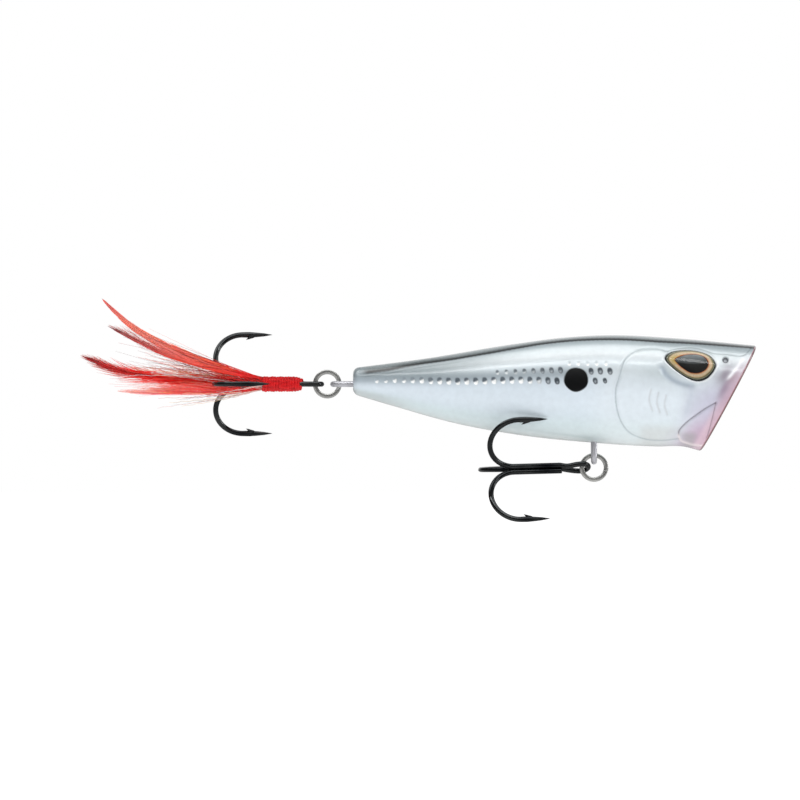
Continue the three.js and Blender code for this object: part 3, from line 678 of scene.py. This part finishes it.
def from_eye(a, b, h, side):
    """Points from the eye's own frame. side is 1 for the right eye and -1 for the left."""
    p = EYE_AT + a[..., None] * [1, 0, 0] + b[..., None] * EYE_UP + h[..., None] * EYE_OUT
    return p * [1, side, 1]


def make_eye(side, name):
    """The printed iris, with its pupil, under a clear dome."""
    count = 160
    rim = spline(EYE_LINE, count + 1, closed=True)[:-1]
    ang, reach = np.arctan2(rim[:, 1], rim[:, 0]), np.hypot(rim[:, 0], rim[:, 1])
    pupil = 1 / outline_share(np.cos(ang), np.sin(ang), PUPIL_LINE)

    def ring(r, height):
        return from_eye(r * np.cos(ang), r * np.sin(ang), height + 0 * r, side)

    def centre(height):
        return from_eye(*np.array([[0.0], [0.0], [height]]), side)

    rows, cols = [], []
    for s in np.concatenate([np.linspace(0.01, 1, 26), 1 + np.linspace(0, 1, 50)[1:]]):
        r = s * pupil if s <= 1 else pupil + (s - 1) * (reach - pupil)
        rows.append(ring(r, IRIS_EDGE + 0.32 * (1 - (r / reach) ** 2)))
        colour = np.tile(read_at(s, *colour_line(IRIS_BANDS)), (count, 1))
        if s < 1:  # a painted reflection makes the pupil paler towards the top
            up = r * np.sin(ang) - 0.04 * (r * np.cos(ang) - 0.6) ** 2 + 0.05
            pale = (smooth(0, 0.3, up) * (0.12 + 0.7 * np.clip(up / 1.8, 0, 1) ** 1.3))[:, None]
            colour = colour + (srgb(160, 170, 174) - colour) * pale
        if 1.08 < s < 1.5:  # gold glint at the back corner
            colour = colour + (srgb(214, 190, 60) - colour) * 0.6 * hump(ang, 2.85, 0.35)[:, None]
        cols.append(colour)
    rows.append(ring(reach, IRIS_FOOT))
    cols.append(np.tile(srgb(16, 18, 18), (count, 1)))
    verts = np.vstack([*rows, centre(IRIS_EDGE + 0.32), centre(IRIS_FOOT)])
    faces = np.vstack([grid_faces(len(rows), count, wrap=True), end_caps(len(rows) * count, count)])
    colours = np.vstack([*cols, cols[0][0], cols[-1][0]])
    iris = mesh_object(f"iris_{name}", verts, faces[:, ::-side], IRIS, colours)
    assign(iris, "lure_body", [f"eye_plate_{name}"])

    rows = [ring(s * reach, LENS_CROWN - 0.62 * s**2.6)
            for s in np.concatenate([np.linspace(0.02, 0.9, 22), np.linspace(0.9, 0.985, 10)[1:]])]
    rows.append(ring(0.99 * reach, -0.16))
    crown = end_caps(len(rows) * count, count)[:count // 2]
    faces = np.vstack([grid_faces(len(rows), count, wrap=True), crown])
    lens = mesh_object(f"lens_{name}", np.vstack([*rows, centre(LENS_CROWN)]), faces[:, ::-side], LENS)
    assign(lens, "lure_body", [f"eye_lens_{name}"])


make_eye(1, "right")
make_eye(-1, "left")


# ---------------- wire parts
def arc(centre, radius, u, v, a0, a1, count):
    a = np.linspace(a0, a1, count)[:, None]
    return np.asarray(centre) + radius * (np.cos(a) * np.asarray(u) + np.sin(a) * np.asarray(v))


def piece(name, parts, material, body, nodes=()):
    """One object made of tubes or strands."""
    verts, faces, *colours = merged(parts)
    assign(mesh_object(name, verts, faces, material, *colours), body, nodes)


HANGER_EYE, HANGER_WIRE = 1.4, 0.575  # radii
SEAT = 1.145  # from the hanger's wire to the ring's, centre to centre


def staple(legs, matrix):
    """An eye with two legs that turn out at their feet. matrix is its turn and its place."""
    r = HANGER_EYE
    loop = arc([0, 0, 0], r, [0, 1, 0], [0, 0, 1], 0, -np.pi, 40)
    points = np.vstack([[0.3, r, legs], [0.05, r, legs - 0.4], [0, r, legs * 0.5], loop,
                        [0, -r, legs * 0.5], [-0.05, -r, legs - 0.4], [-0.3, -r, legs]])
    return tube(spline(points, 140) @ np.array(matrix[0]).T + np.array(matrix[1]), HANGER_WIRE, 20)


BELLY_RING, TAIL_RING = np.array([-24.5, 0, -15.35]), np.array([-77.3, 0, AXIS_Z])
HANG = SEAT + HANGER_EYE
HANGERS = {
    "belly_hanger": (6.6, (np.eye(3), BELLY_RING + [0, 0, HANG])),
    "tail_hanger": (10.2, ([[0, 0, 1], [0, 1, 0], [-1, 0, 0]], TAIL_RING + [HANG, 0, 0])),
    "line_tie": (8.6, ([[0, 0, -1], [-1, 0, 0], [0, 1, 0]], [0, 0, 0])),
}
for hanger, shape in HANGERS.items():
    piece(hanger + "_wire", [staple(*shape)], STEEL, "lure_body", [hanger])


def split_ring(centre):
    """Nearly two turns of flat wire, the second stepped over beside the first."""
    count, sides = 240, 20
    ring, half_width, half_height = 2.4, 0.45, 0.23
    share = np.linspace(0, 1, count)
    a = -0.3 + share * 1.9 * 2 * np.pi
    y = 0.52 * (smooth(0.42, 0.58, share) - 0.5)
    line = centre + np.stack([ring * np.cos(a), y, ring * np.sin(a)], 1)
    k = np.linspace(0, 2 * np.pi, sides, endpoint=False)
    flat = lambda t: (np.sign(t) * np.abs(t) ** 0.75)[None, :, None]
    out, across = np.stack([np.cos(a), 0 * a, np.sin(a)], 1)[:, None], np.array([0, 1, 0])
    verts = line[:, None] + half_width * flat(np.cos(k)) * out + half_height * flat(np.sin(k)) * across
    verts = np.vstack([verts.reshape(-1, 3), line[0], line[-1]])
    return verts, np.vstack([grid_faces(count, sides, wrap=True), end_caps(count * sides, sides)])


for end, centre in (("belly", BELLY_RING), ("tail", TAIL_RING)):
    piece(end + "_ring_coils", [split_ring(centre)], RING, end + "_ring", [end + "_split_ring"])

# ---------------- treble hooks
HOOK_R, HOOK_EYE, BEND = 0.525, 1.42, 5.34  # radii of the wire, the eye and the bend
SPREAD = 0.64  # from the treble's axis to a shank
PAIR_FROM, SINGLE_FROM = 6.4, 6.0  # where the shanks start
POINT_UP = 11.7  # from the bend's far side to the tip of a point


def outward(angle):
    return np.array([0, math.cos(angle), math.sin(angle)])


def hook_line(length, angle, start):
    """Centre line of one hook from its shank to the tip of its point, in the treble's own frame, with the
    directions of its forged flats."""
    out, back = outward(angle), np.array([-1, 0, 0])
    centre = length - HOOK_R - BEND
    bend = arc(out * (SPREAD + BEND) + back * centre, BEND, back, out, -np.pi / 2, np.pi / 2, 90)
    shank = out * SPREAD + back * np.linspace(start, centre, 40)[:-1, None]
    leg = out * (SPREAD + 2 * BEND) + back * np.linspace(centre, length - POINT_UP, 60)[1:, None]
    strength = 0.2 * np.concatenate([np.zeros(39), smooth(0, 30, np.arange(90.0)), np.linspace(1, 0.5, 59)])
    return np.vstack([shank, bend, leg]), strength[:, None] * outward(angle + np.pi / 2)


def point_radius(line):
    """The wire's radius along a hook's line. It swells a little behind the point, then tapers to it."""
    left = np.concatenate([np.cumsum(np.linalg.norm(np.diff(line, axis=0), axis=1)[::-1])[::-1], [0]])
    r = HOOK_R * np.interp(left, [0, 0.4, 1.6, 3.1, 4.4, 6], [0.03, 0.2, 0.6, 0.88, 1.02, 1.0])
    return r * (1 + 0.05 * hump(left, 4.9, 1.0))


def barb(length, angle):
    """A sliver raised from the wire inside the hook, pointing back to the bend."""
    out, leg, tip = outward(angle), SPREAD + 2 * BEND, length - POINT_UP
    base = np.array([-(tip + 3.4), 0, 0]) + out * (leg - 0.2)
    end = np.array([-(tip + 5.2), 0, 0]) + out * (leg - 1.12)
    line = spline([base, base * 0.5 + end * 0.5 + out * 0.08, end], 14)
    return tube(line, np.interp(np.linspace(0, 1, 14), [0, 0.25, 0.7, 1], [0.24, 0.34, 0.22, 0.015]), 12)


def single_hook(length, angle):
    line, flats = hook_line(length, angle, SINGLE_FROM)
    return [tube(line, point_radius(line), 28, flats), barb(length, angle)]


def double_hook(length, a, b, eye_angle):
    """Two hooks bent from one wire, with the treble's eye between them."""
    side, ahead = outward(eye_angle), np.array([1.0, 0, 0])
    loop = arc(ahead * (-HOOK_R - HOOK_EYE), HOOK_EYE, side, ahead, 0, np.pi, 24)
    shoulder = lambda k: side * k * HOOK_EYE * 0.88 - 3.1 * ahead
    hip = lambda k: side * k * 0.69 - 4.9 * ahead
    (up, up_flats), (down, down_flats) = hook_line(length, a, PAIR_FROM), hook_line(length, b, PAIR_FROM)
    middle = spline([up[2], up[0], hip(1), shoulder(1), *loop[::4], loop[-1], shoulder(-1), hip(-1),
                     down[0], down[2]], 260)
    line = np.vstack([up[3:][::-1], middle, down[3:]])
    even = np.full(len(middle), HOOK_R)
    radius = np.concatenate([point_radius(up)[3:][::-1], even, point_radius(down)[3:]])
    flats = np.vstack([up_flats[3:][::-1], np.zeros((len(middle), 3)), down_flats[3:]])
    return [tube(line, radius, 28, flats), barb(length, a), barb(length, b)]


def hung(parts, ring, roll=0.0, droop=0.0, yaw=0.0):
    """Hook parts turned and hung on a ring, with where the treble's frame then starts."""
    about = lambda angle, axis: Matrix.Rotation(angle, 3, axis)
    turn = np.array(about(yaw, "Z") @ about(droop, "Y") @ about(roll, "X"))
    origin = ring + turn @ np.array([HOOK_R + HOOK_EYE, 0, 0]) - [1.12 + HOOK_EYE, 0, 0]
    return [(v @ turn.T + origin, f) for v, f in parts], origin


UPPER, LOWER, FAR = 2 * np.pi / 3, 4 * np.pi / 3, 0.0
BACK_LIE = {"droop": math.radians(-1.4), "yaw": math.radians(11)}  # back along the right flank
TREBLES = {  # length, angle of the eye, ring and lie
    "belly": (21.4, 5 * np.pi / 6, BELLY_RING, BACK_LIE),
    "tail": (22.1, np.pi, TAIL_RING, {"roll": np.pi}),
}
for end, (length, eye_angle, ring, lie) in TREBLES.items():
    pair, treble_at = hung(double_hook(length, UPPER, FAR, eye_angle), ring, **lie)
    piece(end + "_treble_pair", pair, HOOK, end + "_hook", [end + "_hook_pair"])
    single, _ = hung(single_hook(length, LOWER), ring, **lie)
    piece(end + "_treble_single", single, HOOK, end + "_hook", [end + "_hook_single"])
TAIL_AT = treble_at[0]  # the tail treble's eye, which the wrap and the feathers are measured from
WRAP_END, WRAP_ROOT = 12.1, 1.15  # where strands leave the wrap: along the shank, and out from its axis


# ---------------- thread wrap
def thread_wrap():
    """Side-by-side turns of a flat thread over a core, a little uneven, drawn in at the front."""
    turns = 15
    t = np.linspace(0, 1, turns * 48)
    a = t * turns * 2 * np.pi
    s = 4.35 + 7.85 * t + 0.05 * np.sin(a * 0.31)
    core_r = lambda s: np.interp(s, [4.3, 4.7, 5.3, 6.2, 11.8, 12.3], [0.8, 1.05, 1.26, 1.34, 1.36, 1.24])
    r = core_r(s) + 0.03 * np.sin(a * 0.37 + 1) + 0.015 * np.sin(a * 1.7)
    line = np.stack([TAIL_AT - s, r * np.cos(a), AXIS_Z + r * np.sin(a)], 1)
    s = np.linspace(4.4, 12.15, 30)
    parts = [tube(np.stack([TAIL_AT - s, 0 * s, AXIS_Z + 0 * s], 1), core_r(s) + 0.02, 40)]
    for k in (-1, 0, 1):  # the thread is three plies lying flat
        parts.append(tube(line + np.array([0.155 * k, 0, 0]), 0.145 + 0.05 * (k == 0), 8))
    return parts


piece("thread_winding", thread_wrap(), THREAD, "tail_hook", ["thread_wrap"])


# ---------------- feathers
def ribbon(line, half, across, colour):
    """A flat coloured strip along line. across is its width direction at each point."""
    edge = across * half[:, None]
    verts = np.stack([line - edge, line + edge], 1).reshape(-1, 3)
    return verts, grid_faces(len(line), 2), np.repeat(colour, 2, axis=0)


def feather(path, width, quill, tones, lean, seed, count=420, half=0.075, splay=0.0, reach=(0.2, 0.42),
            fringe=0, ruffle=0.35):
    """A hackle: a tapering quill, then long barbs that leave it at a low angle and sweep back to the tip.
    tones run from the root to the tip. lean tips the flat side up. splay throws some barbs wide of the
    outline, and fringe is the side they leave on, or 0 for both. ruffle is how unevenly the barbs lie."""
    r = np.random.default_rng(seed)
    line = spline(path, 240)
    u_line = np.linspace(0, 1, 240)
    along = unit(np.gradient(line, axis=0))
    side = unit(np.cross(unit(np.array([0, -1, lean])), along))
    up = np.cross(along, side)
    envelope = 1.3 * width * smooth(-0.25, 0.3, u_line) * (1 - u_line) ** 0.57
    stops, tone_line = colour_line(list(zip(np.linspace(0, 1, len(tones)), tones)))
    sides = 6
    v, f = tube(line, np.interp(u_line, [0, 0.7, 1], [quill, quill * 0.5, 0.02]), sides)
    parts = [(v, f, read_at(np.concatenate([np.repeat(u_line, sides), [0, 1]]), stops, tone_line) * 0.85)]
    s = np.linspace(0, 1, 12)
    for k in range(count):
        sign = 1 if k % 2 else -1
        u0 = 0.02 + 0.84 * r.uniform(0, 1) ** 1.1
        u1 = min(1 - 0.1 * r.uniform(0, 1) ** 2, u0 + r.uniform(*reach) * (1.15 - 0.5 * u0))
        u = u0 + (u1 - u0) * s
        wide = np.interp(u, u_line, envelope)
        out = r.uniform(0.05, 1.0) ** 0.8
        wild = splay * (r.uniform(0, 1) < 0.45) * r.uniform(0.3, 1.0) * smooth(1.06, 0.84, u1)
        side_way = sign * out * wide * s**0.8 + (fringe or sign) * wild * s**1.6
        lift = (r.normal(0, 0.22) * wide + 0.3 * wild * r.normal()) * s
        centre_at, side_at, up_at = (read_at(u, u_line, rows) for rows in (line, side, up))
        strand = centre_at + side_way[:, None] * side_at + lift[:, None] * up_at
        strand = strand + np.outer(s**2 * (1 - 0.8 * u), r.normal(0, 0.1, 3))
        across = unit(side_at + [0, r.normal(0, ruffle), 0])
        half_at = half * r.uniform(0.7, 1.3) * (1 - 0.85 * s**2)
        colour = np.stack([np.interp(np.clip(u + r.normal(0, 0.08), 0, 1), stops, channel)
                           for channel in tone_line.T], 1)
        streak = 1 + ruffle * r.choice([-0.85, -0.2, 0.25, 0.7, 1.4], p=[0.1, 0.2, 0.3, 0.25, 0.15])
        pale = 0.45 * (wild > 0) * s[:, None] ** 1.5
        colour = np.clip(colour * streak, 0, 1) * (1 - pale) + srgb(244, 206, 198) * pale
        parts.append(ribbon(strand, half_at, across, colour))
    return parts


def fibres(count, target, spread, tones, half, seed, crinkle=0.0, around=(0, 2 * np.pi),
           root_tone=(228, 28, 26)):
    """Loose strands from the wrap towards target. around is the range of angles they leave the wrap at."""
    r = np.random.default_rng(seed)
    parts = []
    for _ in range(count):
        a = r.uniform(*around)
        root = np.array([TAIL_AT - WRAP_END, WRAP_ROOT * math.cos(a), AXIS_Z + WRAP_ROOT * math.sin(a)])
        end = np.array(target) + r.normal(0, 1, 3) * np.array(spread)
        end = root + (end - root) * r.uniform(0.7, 1.0)
        mid = root + (end - root) * 0.45 + np.array([0, root[1] * 0.4, (root[2] - AXIS_Z) * 0.4])
        line, s = spline([root, mid, end], 24), np.linspace(0, 1, 24)
        phase = r.uniform(0, 6)
        line[:, 2] += crinkle * np.sin(s * 46 + phase) * np.minimum(1, s * 4)
        line[:, 1] += crinkle * np.cos(s * 39 + phase) * np.minimum(1, s * 4)
        tone = np.clip(srgb(*tones[r.integers(len(tones))]) * r.uniform(0.85, 1.1), 0, 1)
        colour = srgb(*root_tone) + (tone - srgb(*root_tone)) * smooth(0.2, 0.5, s)[:, None]
        parts.append(ribbon(line, half * (1 - 0.6 * s), np.tile([0.1, 0.35, 0.93], (24, 1)), colour))
    return parts


THIN = {"count": 120, "half": 0.055, "reach": (0.3, 0.7), "fringe": -1}
HACKLES = {
    "hackle_top": dict(
        path=[(-89.6, 0.3, 2.4), (-97.2, -0.1, 3.9), (-104.3, 0.6, 6.4), (-114.9, 1.6, 11.8),
              (-118.9, 1.8, 15.0), (-122, 1.8, 18.1)],
        tones=[(232, 34, 30), (255, 80, 60), (255, 146, 118), (255, 158, 138), (236, 124, 118)],
        width=1.15, quill=0.14, lean=0.3, seed=1, half=0.095, ruffle=0.12),
    "hackle_upper": dict(
        path=[(-89.6, -0.9, 2.2), (-97, -2.3, 3.4), (-104.3, -3.4, 5.4), (-109.6, -4, 7.2),
              (-114.9, -4.4, 9.7), (-120.6, -4.4, 12.6)],
        tones=[(236, 30, 28), (252, 76, 58), (244, 96, 80), (196, 62, 60), (150, 70, 74)],
        width=0.8, quill=0.08, lean=-0.2, seed=2, count=170, half=0.05, splay=2.2,
        reach=(0.35, 0.75), fringe=-1),
    "hackle_middle": dict(
        path=[(-89.6, 1.2, 1.3), (-97, 1.8, 1.4), (-102, 1.4, 1.7), (-111.4, 0.6, 2.6), (-119, 0, 4.0),
              (-126.1, -0.4, 6.8)],
        tones=[(228, 24, 24), (244, 30, 24), (246, 28, 22), (226, 28, 24), (150, 44, 46)],
        width=1.3, quill=0.12, lean=0.15, seed=3, count=460, splay=1.7),
    "hackle_lower": dict(
        path=[(-89.6, -0.9, 0.2), (-97, -1.4, -0.3), (-104, -2.6, -0.3), (-112.5, -4.2, -0.5),
              (-118.6, -5, -0.3)],
        tones=[(228, 26, 26), (244, 52, 46), (244, 110, 104), (246, 190, 186)],
        width=1.1, quill=0.06, lean=-0.35, seed=4, splay=1.3, **THIN),
    "hackle_bottom": dict(
        path=[(-89.6, 1.1, 0.2), (-97, 2.6, 0.6), (-104, 3.8, 0.5), (-110.5, 4.6, -0.2), (-116.6, 5, -0.7)],
        tones=[(222, 26, 26), (240, 56, 50), (240, 120, 114), (248, 206, 202)],
        width=1.1, quill=0.06, lean=0.4, seed=5, splay=1.5, **{**THIN, "count": 110}),
}
for name, spec in HACKLES.items():
    quill, *barbs = feather(**spec)
    piece(name + "_barbs", barbs, HACKLE, "tail_hook", [name])
    piece(name + "_quill", [quill], HACKLE, "tail_hook")

CORAL, RED, DEEP = (255, 128, 104), (240, 34, 28), (150, 16, 20)
DUSKY = [(120, 30, 36), (150, 60, 64), (196, 90, 86)]
loose = fibres(60, (-114, -1.5, 6.5), (3, 2.2, 2.2), [DEEP, RED, CORAL, (120, 20, 22)], 0.035, 11)
loose += fibres(60, (-116, -1, 1.5), (3, 2.4, 1.4), [RED, DEEP, CORAL], 0.035, 12)
loose += fibres(22, (-117.5, -3.5, 10.6), (2.2, 0.8, 1.0), DUSKY, 0.045, 13)
piece("loose_fibres", loose, HACKLE, "tail_hook")
PEARL = {"tones": [(236, 230, 216), (232, 206, 170), (240, 196, 190), (206, 214, 220), (214, 150, 148)],
         "half": 0.07, "crinkle": 0.09, "root_tone": (238, 206, 198)}
upper = fibres(18, (-115, -2, 3.9), (2.5, 2.0, 0.8), seed=21, around=(-0.6, 1.2), **PEARL)
piece("pearl_flash_upper", upper, FLASH, "tail_hook", ["tinsel_front", "tinsel_back"])
lower = fibres(20, (-109, -1.5, -2.4), (2.6, 2.0, 1.1), seed=22, around=(3.3, 5.8), **PEARL)
piece("pearl_flash_lower", lower, FLASH, "tail_hook", ["tinsel_low"])

# ---------------- hidden inner pieces keep their CAD shape
for node in ("tail_weight", "rattle_ball_1", "rattle_ball_2", "rattle_ball_3"):
    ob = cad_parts[node]
    ob.data.materials.clear()
    ob.data.materials.append(BRASS if node == "tail_weight" else BALL)


# ---------------- studio, in m
FLOOR_Z = cad_box[0][2] - 0.05
MIDDLE_X = -0.06  # where the lights stand and aim
WHITE = (1, 1, 1, 1)
CAMERA_AT, LENS_MM = (-0.0629, -1.32, -0.002), 300


def seen_and_felt(tree, seen, felt):
    """One strength for what the camera sees directly and another for the light and reflections."""
    direct = add(tree, "LightPath").outputs["Is Camera Ray"]
    return add(tree, "Mix", {"Factor": direct, "A": felt, "B": seen}).outputs["Result"]


def floor():
    """A round white floor, white to the camera far out and a little grey near the lure."""
    m, tree, bsdf = new_material("studio_white")
    far = tree.nodes.new("ShaderNodeVectorMath")
    far.operation = "LENGTH"
    away = feed(tree, far, {0: add(tree, "TexCoord").outputs["Object"]}).outputs["Value"]
    seen, felt = map_range(tree, away, 0.8, 1.1, 0.25, 1), map_range(tree, away, 0.12, 0, 0.15, 0.8)
    feed(tree, bsdf, {"Base Color": (0.3, 0.3, 0.3, 1), "Roughness": 0.9, "Specular IOR Level": 0,
                      "Emission Color": WHITE, "Emission Strength": seen_and_felt(tree, seen, felt)})
    radius, sides = 4000, 96
    rim = arc([0, 0, FLOOR_Z / MM], radius, [1, 0, 0], [0, 1, 0], 0, 2 * np.pi, sides + 1)[:-1]
    mesh_object("floor", rim, [range(sides)], m)


def surround():
    """White to the camera. Its light is dim at eye level, so that blacks stay black, brighter above, and
    brightest far behind, where grazing edges mirror it."""
    world = bpy.data.worlds.new("studio")
    bpy.context.scene.world = world
    world.use_nodes = True
    tree = world.node_tree
    towards = add(tree, "SeparateXYZ", {"Vector": add(tree, "TexCoord").outputs["Generated"]}).outputs
    brightest = tree.nodes.new("ShaderNodeMath")
    brightest.operation = "MAXIMUM"
    feed(tree, brightest, {0: map_range(tree, towards["Z"], 0.03, 0.2, 0.1, 0.7),
                           1: map_range(tree, towards["Y"], 0.03, 0.8, 0.6, 0.95)})
    strength = seen_and_felt(tree, 1, brightest.outputs["Value"])
    feed(tree, tree.nodes["Background"], {"Color": WHITE, "Strength": strength})


def softbox(name, at, size, power, mirrored=True):
    light = bpy.data.lights.new(name, "AREA")
    light.shape, light.energy = "RECTANGLE", power
    light.size, light.size_y = size
    lamp = new_object(name, light)
    lamp.location = at
    lamp.rotation_euler = (Vector((MIDDLE_X, 0, 0)) - Vector(at)).to_track_quat("-Z", "Y").to_euler()
    lamp.visible_camera = False
    lamp.visible_glossy = mirrored


floor()
surround()
softbox("overhead", (MIDDLE_X, -0.06, 0.6), (1.2, 0.34), 2.2)
softbox("bounce", (MIDDLE_X, 0, FLOOR_Z + 0.005), (0.5, 0.4), 0.62, mirrored=False)
for side, name in ((-1, "front"), (1, "back")):
    softbox(name + "_strip", (MIDDLE_X, 0.53 * side, 0.63), (1.2, 0.1), 1.35, mirrored=side < 0)
    softbox(name + "_ambient", (MIDDLE_X, 1.15 * side, 0.2), (1.6, 0.9), 9.6, mirrored=False)
    softbox(name + "_card", (0.69, 0.22 * side, 0.08), (0.12, 0.6), 1.1)
cam = bpy.data.cameras.new("camera")
cam.lens, cam.sensor_width, cam.clip_end = LENS_MM, 36, 20
ob = new_object("camera", cam)
ob.location = CAMERA_AT
ob.rotation_euler = (math.pi / 2, 0, 0)
bpy.context.scene.camera = ob
bpy.context.scene.view_settings.view_transform = "Standard"
